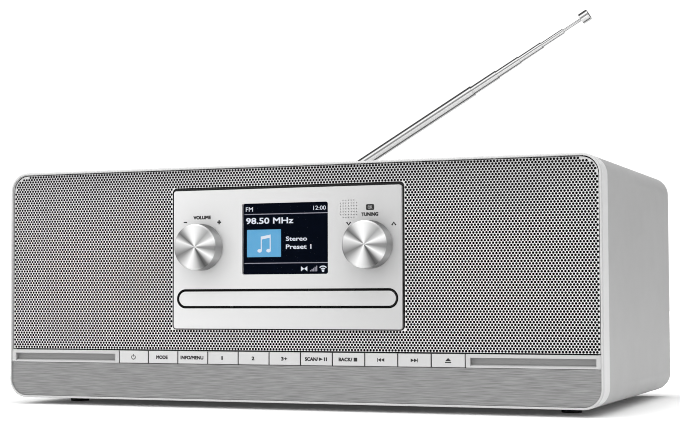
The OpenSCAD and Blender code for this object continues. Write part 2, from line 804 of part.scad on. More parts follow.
// The first section ends in a flat tongue that the pin passes through
module antenna_section_1() color("silver") in_antenna() {
    difference() {
        union() {
            translate([0, 0, -2]) cylinder(r = tube_r[0], h = 4);
            translate([0, -tube_r[0], -2]) cube([first_mouth - tube_len[0] + 0.5, 2 * tube_r[0], 4]);
        }
        translate([0, 0, -3]) cylinder(r = pin_r + shaft_gap, h = 6);
        translate([first_mouth - tube_len[0] + 0.1, 0, 0]) rotate([0, 90, 0])
            difference() {
                cylinder(r = 10, h = 3);
                translate([0, 0, -1]) cylinder(r = tube_r[0], h = 5);
            }
    }
    antenna_tube(0);
}

module antenna_section_2() color("silver") in_antenna() antenna_tube(1);
module antenna_section_3() color("silver") in_antenna() antenna_tube(2);
module antenna_section_4() color("silver") in_antenna() antenna_tube(3);
module antenna_section_5() color("silver") in_antenna() antenna_tube(4);

module antenna_section_6() color("silver") in_antenna() translate([mouth(5) - tube_len[5], 0, 0])
    rotate([0, 90, 0]) {
        cylinder(r = tube_r[5], h = tube_len[5]);
        cylinder(r = tube_r[4] - tube_wall - shaft_gap, h = sleeve_len);
    }

module antenna_tip() color("silver") in_antenna() translate([mouth(5), 0, 0]) rotate([0, 90, 0])
    rotate_extrude() polygon([
        [0, 0],
        [tip_r - 0.3, 0],
        [tip_r, 0.3],
        [tip_r, tip_len - 0.4],
        [tip_r - 0.4, tip_len],
        [0, tip_len]
    ]);

cabinet_shell();
front_frame();
rear_cover();
rear_screws();
feet();
front_baffle();
tray_collar();
speaker_grille();
lower_panel();
slot_trims();
control_panel();
display_window();
display_module();
front_board();
volume_encoder();
volume_shaft();
volume_knob();
tuning_encoder();
tuning_shaft();
tuning_knob();
key_power();
key_mode();
key_menu();
key_one();
key_two();
key_three_plus();
key_scan();
key_back();
key_previous();
key_next();
key_eject();
key_board();
key_switches();
speaker_frames();
speaker_cones();
speaker_magnets();
drive_chassis();
clamp_bridge();
disc_clamp();
disc_tray();
tray_front();
loading_motor();
loading_pinion();
spindle_motor();
spindle_hub();
laser_sled();
sled_gear();
main_board();
power_inlet();
jack_block();
antenna_base();
antenna_swivel();
antenna_pin();
antenna_section_1();
antenna_section_2();
antenna_section_3();
antenna_section_4();
antenna_section_5();
antenna_section_6();
antenna_tip();
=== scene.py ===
"""The looks of a tabletop radio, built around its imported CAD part."""
import json
import math

import bmesh
import bpy
from mathutils import Matrix, Vector
from mathutils.geometry import delaunay_2d_cdt


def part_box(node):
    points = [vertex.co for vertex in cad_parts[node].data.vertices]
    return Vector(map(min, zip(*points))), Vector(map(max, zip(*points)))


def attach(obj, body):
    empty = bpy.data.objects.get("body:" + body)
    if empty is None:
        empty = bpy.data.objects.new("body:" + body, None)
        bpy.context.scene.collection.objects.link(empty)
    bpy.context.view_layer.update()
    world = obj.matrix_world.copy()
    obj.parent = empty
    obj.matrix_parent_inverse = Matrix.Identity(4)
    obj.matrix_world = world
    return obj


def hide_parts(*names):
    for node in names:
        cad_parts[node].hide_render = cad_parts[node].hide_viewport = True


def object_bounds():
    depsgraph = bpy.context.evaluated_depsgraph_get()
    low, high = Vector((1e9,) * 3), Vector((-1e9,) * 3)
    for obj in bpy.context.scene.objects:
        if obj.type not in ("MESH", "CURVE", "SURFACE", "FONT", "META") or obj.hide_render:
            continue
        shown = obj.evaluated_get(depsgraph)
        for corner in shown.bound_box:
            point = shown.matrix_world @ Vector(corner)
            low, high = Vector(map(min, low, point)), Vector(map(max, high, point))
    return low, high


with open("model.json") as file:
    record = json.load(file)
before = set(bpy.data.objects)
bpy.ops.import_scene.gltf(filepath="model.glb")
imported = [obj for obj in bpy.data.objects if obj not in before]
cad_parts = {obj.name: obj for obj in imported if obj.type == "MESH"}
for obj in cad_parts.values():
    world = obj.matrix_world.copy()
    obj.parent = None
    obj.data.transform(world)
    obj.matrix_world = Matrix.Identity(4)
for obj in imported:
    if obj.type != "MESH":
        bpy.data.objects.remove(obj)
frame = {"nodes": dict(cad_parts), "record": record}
cad_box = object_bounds()
nodes = frame["nodes"]

# ---------------------------------------------------------------- the cabinet's own measures
MM = 0.001
RIM_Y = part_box("front_frame")[0].y      # the plane of the front rim
UNDERSIDE_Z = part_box("feet")[1].z       # the cabinet stands on its feet at this height
INK_PROUD = 0.03                        # how far printed marks stand off their surface, in mm
ANTENNA_TILT = 30.2                     # degrees above the horizontal, at rest


def at(x, depth, z):
    """A place in metres. It takes millimetres: from the middle, behind the rim and above the underside."""
    return Vector((x * MM, RIM_Y + depth * MM, UNDERSIDE_Z + z * MM))


def depth_of(y):
    """Millimetres behind the rim, from metres."""
    return (y - RIM_Y) / MM


def height_of(z):
    """Millimetres above the underside, from metres."""
    return (z - UNDERSIDE_Z) / MM


# ---------------------------------------------------------------- materials
def grey(value):
    return (value, value, value)


def surface(name, color, metallic=0.0, roughness=0.5, **sockets):
    """A new material, its tree and its shader. Every other socket named is set on the shader itself."""
    material = bpy.data.materials.new(name)
    material.use_nodes = True
    tree = material.node_tree
    shader = tree.nodes["Principled BSDF"]
    shader.inputs["Base Color"].default_value = (*color, 1)
    shader.inputs["Metallic"].default_value = metallic
    shader.inputs["Roughness"].default_value = roughness
    for socket, value in sockets.items():
        shader.inputs[socket.replace("_", " ")].default_value = value
    return material, tree, shader


def noise(tree, scale, stretch=(1, 1, 1), detail=3.0, source="Object"):
    """A noise value in the piece's own coordinates, whose unit is a metre."""
    coordinates = tree.nodes.new("ShaderNodeTexCoord")
    mapping = tree.nodes.new("ShaderNodeMapping")
    texture = tree.nodes.new("ShaderNodeTexNoise")
    mapping.inputs["Scale"].default_value = stretch
    texture.inputs["Scale"].default_value = scale
    texture.inputs["Detail"].default_value = detail
    tree.links.new(coordinates.outputs[source], mapping.inputs["Vector"])
    tree.links.new(mapping.outputs["Vector"], texture.inputs["Vector"])
    return texture.outputs["Fac"]


def spread(tree, value, low, high, start=0.3, end=0.7):
    """Maps a value from the range start to end, where noise mostly lies, to the range low to high."""
    ranged = tree.nodes.new("ShaderNodeMapRange")
    for socket, number in (("From Min", start), ("From Max", end), ("To Min", low), ("To Max", high)):
        ranged.inputs[socket].default_value = number
    tree.links.new(value, ranged.inputs["Value"])
    return ranged.outputs["Result"]


def blend_colors(tree, value, dark, light, start=0.3, end=0.7):
    """Maps a value to the colors from dark to light."""
    ramp = tree.nodes.new("ShaderNodeValToRGB")
    ramp.color_ramp.elements[0].position = start
    ramp.color_ramp.elements[1].position = end
    ramp.color_ramp.elements[0].color = (*dark, 1)
    ramp.color_ramp.elements[1].color = (*light, 1)
    tree.links.new(value, ramp.inputs["Fac"])
    return ramp.outputs["Color"]


def bump(tree, shader, value, distance, strength=0.5):
    """Raises the surface by the value, over a distance in metres."""
    node = tree.nodes.new("ShaderNodeBump")
    node.inputs["Strength"].default_value = strength
    node.inputs["Distance"].default_value = distance
    tree.links.new(value, node.inputs["Height"])
    tree.links.new(node.outputs["Normal"], shader.inputs["Normal"])


def moulded(name, color, roughness, tint=0.05, grain=900, depth=0.00002, **sockets):
    """Moulded or painted plastic: a fine grain, with slow changes of shade and gloss."""
    material, tree, shader = surface(name, color, roughness=roughness, **sockets)
    slow = noise(tree, 14)
    dark = tuple(c * (1 - tint) for c in color)
    light = tuple(c * (1 + tint) for c in color)
    tree.links.new(blend_colors(tree, slow, dark, light), shader.inputs["Base Color"])
    tree.links.new(spread(tree, noise(tree, 60), roughness * 0.92, roughness * 1.08),
                   shader.inputs["Roughness"])
    bump(tree, shader, noise(tree, grain, detail=1.0), depth, 0.35)
    return material


def brushed(name, color, roughness, along=(1, 60, 60), scale=30, contrast=0.1, depth=0.00001, **sockets):
    """Metal brushed along the axis whose stretch is the smallest."""
    material, tree, shader = surface(name, color, metallic=sockets.pop("metallic", 1.0),
                                     roughness=roughness, **sockets)
    lines = noise(tree, scale, along, detail=4.0)
    dark = tuple(c * (1 - contrast) for c in color)
    light = tuple(c * (1 + contrast) for c in color)
    tree.links.new(blend_colors(tree, lines, dark, light), shader.inputs["Base Color"])
    tree.links.new(spread(tree, lines, roughness * 0.85, roughness * 1.15), shader.inputs["Roughness"])
    bump(tree, shader, lines, depth, 0.4)
    return material


def graded_by_painted_light(name, axis, start, end, first, last, roughness):
    """Plastic whose colour goes from first to last between two places in metres along an axis: painted light
    and shade.
    """
    material = moulded(name, grey(first), roughness)
    tree = material.node_tree
    place = tree.nodes.new("ShaderNodeTexCoord")
    parts = tree.nodes.new("ShaderNodeSeparateXYZ")
    tree.links.new(place.outputs["Object"], parts.inputs["Vector"])
    share = spread(tree, parts.outputs[axis], 0.0, 1.0, start, end)
    tree.links.new(blend_colors(tree, share, grey(first), grey(last), 0.0, 1.0),
                   tree.nodes["Principled BSDF"].inputs["Base Color"])
    return material


def from_middle(tree):
    """The piece's own coordinates from its middle, as shares of its width, depth and height."""
    coordinates = tree.nodes.new("ShaderNodeTexCoord")
    centred = tree.nodes.new("ShaderNodeVectorMath")
    centred.operation = "SUBTRACT"
    centred.inputs[1].default_value = (0.5, 0.5, 0.5)
    parts = tree.nodes.new("ShaderNodeSeparateXYZ")
    tree.links.new(coordinates.outputs["Generated"], centred.inputs[0])
    tree.links.new(centred.outputs["Vector"], parts.inputs["Vector"])
    return parts.outputs["X"], parts.outputs["Y"], parts.outputs["Z"]


def math_node(tree, operation, *values):
    """A math node whose inputs are sockets or numbers."""
    node = tree.nodes.new("ShaderNodeMath")
    node.operation = operation
    for i, value in enumerate(values):
        if isinstance(value, bpy.types.NodeSocket):
            tree.links.new(value, node.inputs[i])
        else:
            node.inputs[i].default_value = value
    return node.outputs["Value"]


# Painted reflections on a lathe-turned knob, as its shade by angle in degrees, anticlockwise from the right:
# its face, then its rim
FACE_PAINTED_REFLECTIONS = ((0, 0.25), (10, 0.70), (20, 0.93), (30, 0.55), (45, 0.34), (60, 0.52), (80, 0.83), (95, 0.97),
             (110, 0.87), (120, 0.66), (130, 0.32), (140, 0.12), (150, 0.39), (160, 0.84), (170, 0.64),
             (190, 0.37), (205, 0.19), (215, 0.29), (230, 0.57), (250, 0.94), (262, 0.87), (280, 0.52),
             (290, 0.25), (302, 0.06), (310, 0.12), (320, 0.50), (331, 0.92), (342, 0.52), (352, 0.23),
             (360, 0.25))
RIM_PAINTED_REFLECTIONS = ((0, 0.26), (15, 0.42), (30, 0.36), (45, 0.16), (58, 0.05), (80, 0.03), (100, 0.3), (140, 0.3),
            (180, 0.5), (220, 0.3), (250, 0.5), (280, 0.25), (292, 0.10), (310, 0.18), (330, 0.45),
            (345, 0.34), (360, 0.26))
RIM_START = -0.41                       # where a knob's rim starts, as a share of its depth from its middle


def shades(tree, value, stops):
    """A grey for each value, from pairs of a value and its shade."""
    ramp = tree.nodes.new("ShaderNodeValToRGB")
    elements = ramp.color_ramp.elements
    elements.remove(elements[1])
    for i, (place, shade) in enumerate(stops):
        stop = elements[0] if i == 0 else elements.new(place)
        stop.position = place
        stop.color = (*grey(shade), 1)
    tree.links.new(value, ramp.inputs["Fac"])
    return ramp.outputs["Color"]


def painted_rays(tree, turns, angles):
    """A grey for each share of a full turn, from pairs of an angle in degrees and its shade: painted
    reflections.
    """
    return shades(tree, turns, [(degrees / 360, shade) for degrees, shade in angles])


def spun_with_painted_reflections(name, color, roughness):
    """Metal turned on a lathe: rings round the depth axis draw real highlights out into rays, and rays of
    painted reflection lie in its colour as well.
    """
    material, tree, shader = surface(name, color, metallic=0.35, roughness=roughness, Anisotropic=0.6)
    across, back, up = from_middle(tree)
    angle = math_node(tree, "ARCTAN2", up, across)
    turns = math_node(tree, "FRACT", math_node(tree, "DIVIDE", angle, math.tau))
    on_rim = math_node(tree, "GREATER_THAN", back, RIM_START)
    # Painted reflections: the colour by angle round the knob, one set on its face and one on its rim
    shade = tree.nodes.new("ShaderNodeMix")
    shade.data_type = "RGBA"
    tree.links.new(on_rim, shade.inputs["Factor"])
    tree.links.new(painted_rays(tree, turns, FACE_PAINTED_REFLECTIONS), shade.inputs["A"])
    tree.links.new(painted_rays(tree, turns, RIM_PAINTED_REFLECTIONS), shade.inputs["B"])
    tree.links.new(shade.outputs["Result"], shader.inputs["Base Color"])
    tangent = tree.nodes.new("ShaderNodeTangent")
    tangent.direction_type = "RADIAL"
    tangent.axis = "Y"
    tree.links.new(tangent.outputs["Tangent"], shader.inputs["Tangent"])
    rings = tree.nodes.new("ShaderNodeTexNoise")
    rings.noise_dimensions = "1D"
    rings.inputs["Scale"].default_value = 160
    radius = math_node(tree, "SQRT", math_node(tree, "ADD", math_node(tree, "MULTIPLY", across, across),
                                               math_node(tree, "MULTIPLY", up, up)))
    tree.links.new(radius, rings.inputs["W"])
    tree.links.new(spread(tree, rings.outputs["Fac"], roughness * 0.9, roughness * 1.15),
                   shader.inputs["Roughness"])
    bump(tree, shader, rings.outputs["Fac"], 0.000004, 0.3)
    return material


# Painted reflections on the chrome: its shade from the underside of a rod to its top, as shares of its
# breadth
CHROME_PAINTED_REFLECTIONS = ((0.0, 0.6), (0.03, 0.5), (0.055, 0.05), (0.09, 0.12), (0.14, 0.85), (0.38, 0.92),
                (0.42, 0.28), (0.53, 0.30), (0.575, 0.8), (0.69, 0.8), (0.74, 0.04), (0.92, 0.03),
                (0.97, 0.55), (1.0, 0.7))


def chrome(name, roughness, tilt):
    """Polished metal on rods at a tilt in degrees, with the dark and bright bands of a studio's walls painted
    into its colour as reflections.
    """
    material, tree, shader = surface(name, grey(0.8), metallic=0.3, roughness=roughness)
    facing = tree.nodes.new("ShaderNodeTexCoord")
    across = tree.nodes.new("ShaderNodeVectorMath")
    across.operation = "DOT_PRODUCT"
    across.inputs[1].default_value = (-math.sin(math.radians(tilt)), 0, math.cos(math.radians(tilt)))
    tree.links.new(facing.outputs["Normal"], across.inputs[0])
    share = spread(tree, across.outputs["Value"], 0.0, 1.0, -1.0, 1.0)
    tree.links.new(shades(tree, share, CHROME_PAINTED_REFLECTIONS), shader.inputs["Base Color"])
    tree.links.new(spread(tree, noise(tree, 400), roughness * 0.8, roughness * 1.3),
                   shader.inputs["Roughness"])
    return material


def glowing(name, color, strength):
    """A lit part of the display."""
    material, tree, shader = surface(name, grey(0.01), roughness=0.6, Emission_Strength=strength)
    shader.inputs["Emission Color"].default_value = (*color, 1)
    return material


def circuit_board(name):
    """Green lacquer over a pattern of copper tracks."""
    material, tree, shader = surface(name, (0.02, 0.16, 0.06), roughness=0.35)
    coordinates = tree.nodes.new("ShaderNodeTexCoord")
    tracks = tree.nodes.new("ShaderNodeTexBrick")
    tracks.inputs["Scale"].default_value = 90
    tracks.inputs["Mortar Size"].default_value = 0.03
    tracks.inputs["Color1"].default_value = (0.015, 0.14, 0.05, 1)
    tracks.inputs["Color2"].default_value = (0.02, 0.18, 0.07, 1)
    tracks.inputs["Mortar"].default_value = (0.06, 0.30, 0.12, 1)
    tree.links.new(coordinates.outputs["Object"], tracks.inputs["Vector"])
    tree.links.new(tracks.outputs["Color"], shader.inputs["Base Color"])
    return material


MATERIALS = {
    "cabinet_grey": moulded("cabinet_grey", grey(0.49), 0.45, tint=0.015),
    # The front frame: painted light and shade, darker on its front lip and lighter on its ring behind it
    "frame_silver": graded_by_painted_light("frame_silver", "Y", RIM_Y + 0.6 * MM, RIM_Y + 2.4 * MM, 0.58, 0.82, 0.4),
    "rear_black": moulded("rear_black", grey(0.035), 0.6, grain=500, depth=0.00006),
    "inner_black": moulded("inner_black", grey(0.008), 0.7),
    "foot_rubber": moulded("foot_rubber", grey(0.02), 0.8, grain=700, depth=0.00005),
    "brushed_aluminium": brushed("brushed_aluminium", grey(0.34), 0.5, (1, 26, 26), 80, 0.3),
    # The control panel and the tray's front: painted light, brighter on the left and darker on the right
    "panel_silver": graded_by_painted_light("panel_silver", "X", -0.07, 0.07, 0.71, 0.53, 0.38),
    "circuit_board": circuit_board("circuit_board"),
    "part_metal": brushed("part_metal", grey(0.55), 0.35),
    # The knobs: painted reflections in rays round their face and rim
    "knob_aluminium": spun_with_painted_reflections("knob_aluminium", grey(0.82), 0.34),
    # The keys: painted light, a little brighter on the left than on the right
    "key_plastic": graded_by_painted_light("key_plastic", "X", -0.1, 0.1, 0.60, 0.565, 0.4),
    "basket_steel": moulded("basket_steel", grey(0.12), 0.5),
    "cone_black": moulded("cone_black", grey(0.02), 0.8),
    "magnet_steel": moulded("magnet_steel", grey(0.2), 0.6),
    "drive_plastic": moulded("drive_plastic", grey(0.03), 0.5),
    "white_plastic": moulded("white_plastic", (0.8, 0.8, 0.78), 0.4),
    "screw_steel": brushed("screw_steel", grey(0.5), 0.3),
    # The antenna: painted reflections in bands along its rods
    "antenna_chrome": chrome("antenna_chrome", 0.12, ANTENNA_TILT),
}

# Painted shade: a key's sides are dark, as if the gap beside it were deep
key_tree = MATERIALS["key_plastic"].node_tree
key_shader = key_tree.nodes["Principled BSDF"]
key_across = math_node(key_tree, "ABSOLUTE", from_middle(key_tree)[0])
KEY_EDGE = 0.491                        # where the shadow at a key's sides starts, as a share of its width
shaded = key_tree.nodes.new("ShaderNodeMix")
shaded.data_type = "RGBA"
shaded.inputs["B"].default_value = (*grey(0.02), 1)
key_tree.links.new(key_shader.inputs["Base Color"].links[0].from_socket, shaded.inputs["A"])
key_tree.links.new(math_node(key_tree, "GREATER_THAN", key_across, KEY_EDGE), shaded.inputs["Factor"])
key_tree.links.new(shaded.outputs["Result"], key_shader.inputs["Base Color"])

for subpart in frame["record"]["subparts"]:
    look = MATERIALS.get(subpart["material_slot"])
    if look:
        mesh = nodes[subpart["node"]].data
        mesh.materials.clear()
        mesh.materials.append(look)


def dress(node, material):
    """Gives a CAD node a material of its own."""
    nodes[node].data.materials.clear()
    nodes[node].data.materials.append(material)


window_glass, _, _ = surface("window_glass", grey(1.0), roughness=0.02, IOR=1.02, Transmission_Weight=1.0)
screen_dark, _, screen_shader = surface("screen_dark", (0.0002, 0.0003, 0.0008), roughness=0.5,
                                        Specular_IOR_Level=0.0)
# The slot trims: painted shade, darker deeper in, on the floors of their pockets
trim_silver_painted_shade = graded_by_painted_light("trim_silver_painted_shade", "Y", RIM_Y + 1.4 * MM, RIM_Y + 2.6 * MM, 0.53, 0.315, 0.4)
dress("slot_trims", trim_silver_painted_shade)
dress("display_window", window_glass)
dress("display_module", screen_dark)
grille_metal, grille_tree, grille_shader = surface("grille_metal", grey(0.67), roughness=0.38)
bump(grille_tree, grille_shader, noise(grille_tree, 900, detail=1.0), 0.00001, 0.2)
# A near black for the cloth behind the grille; on the walls of the grille's holes and edges, and partly in
# the line round the tray's front, it is painted shade
black_and_painted_shade, hole_tree, hole_shader = surface("black_and_painted_shade", grey(0.004), roughness=0.8,
                                             Specular_IOR_Level=0.1)
bump(hole_tree, hole_shader, noise(hole_tree, 700, detail=1.0), 0.00001, 0.2)
dress("tray_collar", moulded("collar_black", grey(0.004), 0.8, Specular_IOR_Level=0.1))
ink, _, _ = surface("ink", grey(0.012), roughness=0.6)
pale_ink, _, _ = surface("pale_ink", grey(0.35), roughness=0.6)


# ---------------------------------------------------------------- mesh helpers
def new_piece(name, mesh, material, body):
    """A finished piece of the object: it has a material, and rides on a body."""
    piece = bpy.data.objects.new(name, mesh)
    bpy.context.scene.collection.objects.link(piece)
    mesh.materials.append(material)
    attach(piece, body)
    return piece


def prism(builder, outline, front, back):
    """Adds a closed plate to a bmesh: a flat outline of [x, z] points, from depth front to depth back."""
    near = [builder.verts.new(at(x, front, z)) for x, z in outline]
    far = [builder.verts.new(at(x, back, z)) for x, z in outline]
    builder.faces.new(near)
    builder.faces.new(reversed(far))
    for i, vertex in enumerate(near):
        j = (i + 1) % len(near)
        builder.faces.new((vertex, far[i], far[j], near[j]))


STRIKE_STEP = 0.003                     # each strike of a bold letter stands this far over the last, in mm


def lettering(builder, text, x0, x1, z0, z1, front, back, bold=0.0):
    """Adds raised letters that fill the box from x0, z0 to x1, z1. Bold letters are struck four times."""
    if bold:
        for i, (right, up) in enumerate(((0, 0), (bold, 0), (0, bold), (bold, bold))):
            proud = STRIKE_STEP * i
            lettering(builder, text, x0 + right, x1 - bold + right, z0 + up, z1 - bold + up,
                      front - proud, back - proud)
        return
    curve = bpy.data.curves.new("lettering", "FONT")
    curve.body = text
    curve.resolution_u = 3
    curve.extrude = 0.5
    carrier = bpy.data.objects.new("lettering", curve)
    bpy.context.scene.collection.objects.link(carrier)
    mesh = bpy.data.meshes.new_from_object(carrier)
    xs, ys = [v.co.x for v in mesh.vertices], [v.co.y for v in mesh.vertices]
    for vertex in mesh.vertices:
        across = (vertex.co.x - min(xs)) / (max(xs) - min(xs))
        up = (vertex.co.y - min(ys)) / (max(ys) - min(ys))
        vertex.co = at(x0 + (x1 - x0) * across, front if vertex.co.z > 0 else back, z0 + (z1 - z0) * up)
    builder.from_mesh(mesh)
    bpy.data.objects.remove(carrier)
    bpy.data.curves.remove(curve)
    bpy.data.meshes.remove(mesh)


def built(name, builder, material, body):
    """Turns a bmesh into a finished piece, its faces turned outward."""
    bmesh.ops.remove_doubles(builder, verts=builder.verts, dist=1e-7)
    bmesh.ops.recalc_face_normals(builder, faces=builder.faces)
    mesh = bpy.data.meshes.new(name)
    builder.to_mesh(mesh)
    builder.free()
    new_piece(name, mesh, material, body)


def ring_part(x, z, inner, outer, start, end, steps=16):
    """The outline of a part of a ring, with angles in degrees from the right, anticlockwise."""
    angles = [math.radians(start + (end - start) * i / steps) for i in range(steps + 1)]
    out = [(x + outer * math.cos(a), z + outer * math.sin(a)) for a in angles]
    back = [(x + inner * math.cos(a), z + inner * math.sin(a)) for a in reversed(angles)]
    return out + back


def band(builder, inner, outer, front, back):
    """Adds a closed plate between two outlines with the same number of points, one round the other."""
    loops = [[builder.verts.new(at(x, depth, z)) for x, z in outline]
             for outline in (inner, outer) for depth in (front, back)]
    inner_near, inner_far, outer_near, outer_far = loops
    ring = [inner_near, outer_near, outer_far, inner_far]
    for i in range(len(inner)):
        j = (i + 1) % len(inner)
        for a, b in zip(ring, ring[1:] + ring[:1]):
            builder.faces.new((a[i], a[j], b[j], b[i]))


def disc(x, z, across, up, steps):
    """The outline of an ellipse with its two radii."""
    angles = [2 * math.pi * i / steps for i in range(steps)]
    return [(x + across * math.cos(a), z + up * math.sin(a)) for a in angles]


def rectangle(x0, x1, z0, z1):
    return [(x0, z0), (x1, z0), (x1, z1), (x0, z1)]


def stroke(points, width):
    """The outline of an open line with straight runs, as wide as width."""
    left, right = [], []
    for i, (x, z) in enumerate(points):
        before, after = points[max(i - 1, 0)], points[min(i + 1, len(points) - 1)]
        along = Vector((after[0] - before[0], after[1] - before[1])).normalized()
        side = Vector((-along.y, along.x)) * width / 2
        left.append((x + side.x, z + side.y))
        right.append((x - side.x, z - side.y))
    return left + right[::-1]


# ---------------------------------------------------------------- perforated grille
HOLE_R = 0.74
COLUMN_STEP, ROW_STEP = 1.82, 1.415    # about how far apart the holes stand, in mm
HOLE_SIDES = 9
HOLE_EDGE = 0.06                       # the least metal between a hole and the sheet's edge
SHEET_GAP = 0.45                       # the dark gap round the sheets
SHEET_T = 0.3                          # the sheets' thickness
TOUCH = 1e-6                           # a hole this near a limit still counts as on it


def rounded_outline(x0, x1, z0, z1, radii, steps=6):
    """A rectangle, anticlockwise from the lower left, with a radius for each corner, or 0 for none."""
    corners = [(x0, z0, 180), (x1, z0, 270), (x1, z1, 0), (x0, z1, 90)]
    points = []
    for (x, z, start), radius in zip(corners, radii):
        if radius == 0:
            points.append((x, z))
            continue
        cx = x + radius if x == x0 else x - radius
        cz = z + radius if z == z0 else z - radius
        for i in range(steps + 1):
            a = math.radians(start + 90 * i / steps)
            points.append((cx + radius * math.cos(a), cz + radius * math.sin(a)))
    return points


def perforated(name, outline, opening, centres, front, back):
    """A sheet inside outline, round an opening if there is one, with a small round hole at each centre."""
    loops = [outline] + ([opening] if opening else [])
    for x, z in centres:
        loops.append([(x + HOLE_R * math.cos(2 * math.pi * k / HOLE_SIDES),
                       z + HOLE_R * math.sin(2 * math.pi * k / HOLE_SIDES)) for k in range(HOLE_SIDES)])
    points, edges, owner = [], [], []
    for number, loop in enumerate(loops):
        first = len(points)
        points += [Vector(p) for p in loop]
        owner += [number] * len(loop)
        edges += [(first + i, first + (i + 1) % len(loop)) for i in range(len(loop))]
    flat, _, triangles, origin, _, _ = delaunay_2d_cdt(points, edges, [], 1, 1e-6)
    loop_at = [owner[o[0]] for o in origin]
    kept = [t for t in triangles if loop_at[t[0]] == 0 or len({loop_at[i] for i in t}) > 1]
    count = len(flat)
    vertices = [at(p[0], front, p[1]) for p in flat] + [at(p[0], back, p[1]) for p in flat]
    faces = [tuple(t) for t in kept] + [tuple(count + i for i in reversed(t)) for t in kept]
    once = {}
    for t in kept:
        for a, b in zip(t, t[1:] + t[:1]):
            if (b, a) in once:
                del once[(b, a)]
            else:
                once[(a, b)] = True
    faces += [(b, a, count + a, count + b) for a, b in once]
    mesh = bpy.data.meshes.new(name)
    mesh.from_pydata(vertices, [], faces)
    piece = new_piece(name, mesh, grille_metal, "cabinet")
    # The walls of the holes and of the sheet's edges are near black: painted shade
    mesh.materials.append(black_and_painted_shade)
    for polygon in list(mesh.polygons)[len(kept):]:
        polygon.material_index = 1
    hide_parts("speaker_grille")


low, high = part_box("speaker_grille")
grille_front = depth_of(low.y)
grille_back = grille_front + SHEET_T
half_width = high.x / MM - SHEET_GAP
grille_low, grille_high = height_of(low.z) + SHEET_GAP, height_of(high.z) - SHEET_GAP
GRILLE_CORNER = 9.2
panel_low, panel_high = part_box("control_panel")
LEAST_GAP = 0.65                        # the least width of the dark gap round the control panel
HOLE_MARGIN = HOLE_R + HOLE_EDGE
first_row, last_row = grille_low + HOLE_MARGIN, grille_high - HOLE_MARGIN
# The pitches are stretched a little, so that the outermost holes reach every edge
rows = round((last_row - first_row) / ROW_STEP)
ROW_PITCH = (last_row - first_row) / rows
row_length = 2 * (half_width - HOLE_MARGIN)
HOLE_PITCH = row_length / round(row_length / COLUMN_STEP)
# The opening's edges touch the nearest holes that clear the panel
beside_panel = panel_high.x / MM + LEAST_GAP + HOLE_MARGIN
panel_half = HOLE_PITCH / 2 * math.ceil(2 * beside_panel / HOLE_PITCH) - HOLE_MARGIN
below = height_of(panel_low.z) - LEAST_GAP - HOLE_MARGIN
above = height_of(panel_high.z) + LEAST_GAP + HOLE_MARGIN
opening_low = first_row + math.floor((below - first_row) / ROW_PITCH) * ROW_PITCH + HOLE_MARGIN
opening_high = first_row + math.ceil((above - first_row) / ROW_PITCH) * ROW_PITCH - HOLE_MARGIN
columns = math.ceil(panel_half / HOLE_PITCH) + 1


UPRIGHT = 0.29                          # how far the seam runs straight past a hole, as a share of a row
SEAM_END = 0.2                          # the zigzag stops this far from the sheets' lower and upper edges


def seam(side):
    """The line between two sheets of the grille, which zigzags between the holes from bottom to top."""
    points = [(side * HOLE_PITCH * (columns + 0.5), grille_low)]
    for row in range(rows + 1):
        z = first_row + row * ROW_PITCH
        x = side * HOLE_PITCH * (columns + (0.5 if row % 2 == 0 else 0))
        for end in (-UPRIGHT * ROW_PITCH, UPRIGHT * ROW_PITCH):
            if grille_low + SEAM_END < z + end < grille_high - SEAM_END:
                points.append((x, z + end))
    points.append((points[-1][0], grille_high))
    return points


OPENING_CORNER = 2.7
TOP_CORNERS = [0, 0, GRILLE_CORNER, GRILLE_CORNER]
opening = rounded_outline(-panel_half, panel_half, opening_low, opening_high, [OPENING_CORNER] * 4)
whole = rounded_outline(-half_width, half_width, grille_low, grille_high, TOP_CORNERS)
right_edge = [p for p in whole if p[0] > half_width - GRILLE_CORNER - 0.01]
left_edge = [p for p in whole if p[0] < -half_width + GRILLE_CORNER + 0.01]
centres = []
row_reach = math.ceil(half_width / HOLE_PITCH)
for row in range(rows + 1):
    z = first_row + row * ROW_PITCH
    for column in range(-row_reach, row_reach + 1):
        x = (column + (0 if row % 2 == 0 else 0.5)) * HOLE_PITCH
        if abs(x) > half_width - HOLE_MARGIN + TOUCH:
            continue
        in_corner = Vector((abs(x) - half_width + GRILLE_CORNER, z - grille_high + GRILLE_CORNER))
        if min(in_corner) > 0 and in_corner.length > GRILLE_CORNER - HOLE_MARGIN:
            continue
        beside = abs(x) < panel_half + HOLE_MARGIN - TOUCH
        if beside and opening_low - HOLE_MARGIN + TOUCH < z < opening_high + HOLE_MARGIN - TOUCH:
            continue
        centres.append((x, z))
left_seam, right_seam = seam(-1), seam(1)


def seam_x(points, z):
    """Where a seam is at a height."""
    for (ax, az), (bx, bz) in zip(points, points[1:]):
        if az <= z <= bz:
            return ax + (bx - ax) * (z - az) / max(bz - az, 1e-9)
    return points[-1][0]


sheets = {"grille_left": [], "grille_middle": [], "grille_right": []}
for x, z in centres:
    if x < seam_x(left_seam, z):
        sheets["grille_left"].append((x, z))
    elif x > seam_x(right_seam, z):
        sheets["grille_right"].append((x, z))
    else:
        sheets["grille_middle"].append((x, z))
right_outline = right_edge + right_seam[::-1]
left_outline = left_edge[1:] + [left_edge[0]] + left_seam
middle_outline = left_seam[::-1] + right_seam
perforated("grille_left", left_outline, None, sheets["grille_left"], grille_front, grille_back)
perforated("grille_right", right_outline, None, sheets["grille_right"], grille_front, grille_back)
perforated("grille_middle", middle_outline, opening, sheets["grille_middle"], grille_front, grille_back)

